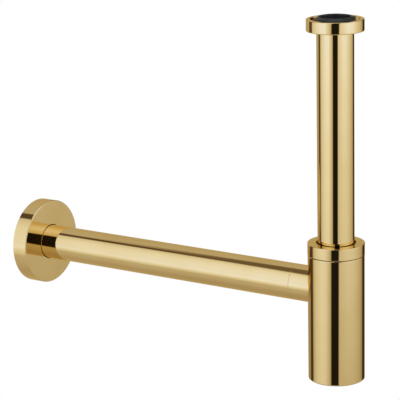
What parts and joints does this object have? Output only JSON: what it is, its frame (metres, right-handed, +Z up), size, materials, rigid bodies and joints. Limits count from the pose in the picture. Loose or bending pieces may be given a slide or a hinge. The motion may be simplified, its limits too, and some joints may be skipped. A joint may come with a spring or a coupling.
{
  "type": "basin bottle trap",
  "caption": "Slim bottle trap for a basin: union nut and telescoping inlet tube, bottle with compression nut, outlet tube with a round wall rosette.",
  "frame": {"origin": "centre of the union nut's top plane, on the inlet tube's axis", "axes": "+Z up along the inlet tube, +Y along the outlet tube towards the wall, +X to the right with the wall behind"},
  "size_m": [0.079, 0.353, 0.32],
  "materials": {
    "polished_gold": "mirror-polished gold coating on brass",
    "turned_brass": "turned, uncoated",
    "black_rubber": "moulded, satin",
    "white_plastic": "plain",
    "dark_plastic": "plain",
    "grey_plastic": "moulded polypropylene"
  },
  "bodies": {
    "union_nut": {"inlet_nut": "polished_gold"},
    "union_washer": {"inlet_slip_washer": "white_plastic"},
    "riser": {"inlet_tube": "polished_gold", "inlet_seal": "black_rubber"},
    "dip_sleeve": {"dip_tube": "grey_plastic", "compression_seal": "black_rubber"},
    "bottle": {"bottle_neck": "turned_brass", "bottle_shell": "polished_gold", "bottle_base": "polished_gold", "outlet_branch": "polished_gold"},
    "clamp_ring": {"compression_slip_ring": "dark_plastic"},
    "clamp_nut": {"compression_nut": "polished_gold"},
    "plug_seal": {"cleaning_plug_ring": "black_rubber"},
    "plug": {"cleaning_plug": "polished_gold"},
    "outlet_seal": {"outlet_ring": "black_rubber"},
    "outlet": {"outlet_tube": "polished_gold", "outlet_nipple": "turned_brass"},
    "rosette_grip": {"rosette_grip_ring": "black_rubber"},
    "rosette": {"rosette_collar": "turned_brass", "wall_rosette": "polished_gold"}
  },
  "joints": [
    {"name": "union_slide", "type": "slide", "parent": "union_nut", "child": "union_washer", "axis": [0, 0, 1], "range_m": [0, 0.14]},
    {"name": "union_swivel", "type": "hinge", "parent": "union_washer", "child": "riser", "pos_m": [0, 0, -0.0079], "axis": [0, 0, 1], "continuous": true},
    {"name": "riser_telescope", "type": "slide", "parent": "riser", "child": "dip_sleeve", "axis": [0, 0, 1], "range_m": [-0.04, 0.032]},
    {"name": "bottle_swivel", "type": "hinge", "parent": "dip_sleeve", "child": "bottle", "pos_m": [0, 0, -0.2046], "axis": [0, 0, 1], "continuous": true},
    {"name": "compression_lift", "type": "slide", "parent": "bottle", "child": "clamp_ring", "axis": [0, 0, 1], "range_m": [0, 0.0064]},
    {"name": "compression_turn", "type": "hinge", "parent": "clamp_ring", "child": "clamp_nut", "pos_m": [0, 0, -0.2], "axis": [0, 0, 1], "range_deg": [0, 1530]},
    {"name": "plug_drop", "type": "slide", "parent": "bottle", "child": "plug_seal", "axis": [0, 0, -1], "range_m": [0, 0.006]},
    {"name": "plug_turn", "type": "hinge", "parent": "plug_seal", "child": "plug", "pos_m": [0, 0, -0.315], "axis": [0, 0, -1], "range_deg": [0, 2120]},
    {"name": "outlet_shift", "type": "slide", "parent": "bottle", "child": "outlet_seal", "axis": [0, 1, 0], "range_m": [0, 0.0058]},
    {"name": "outlet_turn", "type": "hinge", "parent": "outlet_seal", "child": "outlet", "pos_m": [0, 0.0395, -0.2362], "axis": [0, 1, 0], "range_deg": [0, 2050]},
    {"name": "rosette_slide", "type": "slide", "parent": "outlet", "child": "rosette_grip", "axis": [0, 1, 0], "range_m": [-0.285, 0]},
    {"name": "rosette_spin", "type": "hinge", "parent": "rosette_grip", "child": "rosette", "pos_m": [0, 0.3132, -0.2362], "axis": [0, 1, 0], "continuous": true}
  ],
  "couplings": [
    {"joint": "compression_lift", "follows": "compression_turn", "m_per_rad": 0.00023873},
    {"joint": "plug_drop", "follows": "plug_turn", "m_per_rad": 0.00015915},
    {"joint": "outlet_shift", "follows": "outlet_turn", "m_per_rad": 0.00015915}
  ]
}
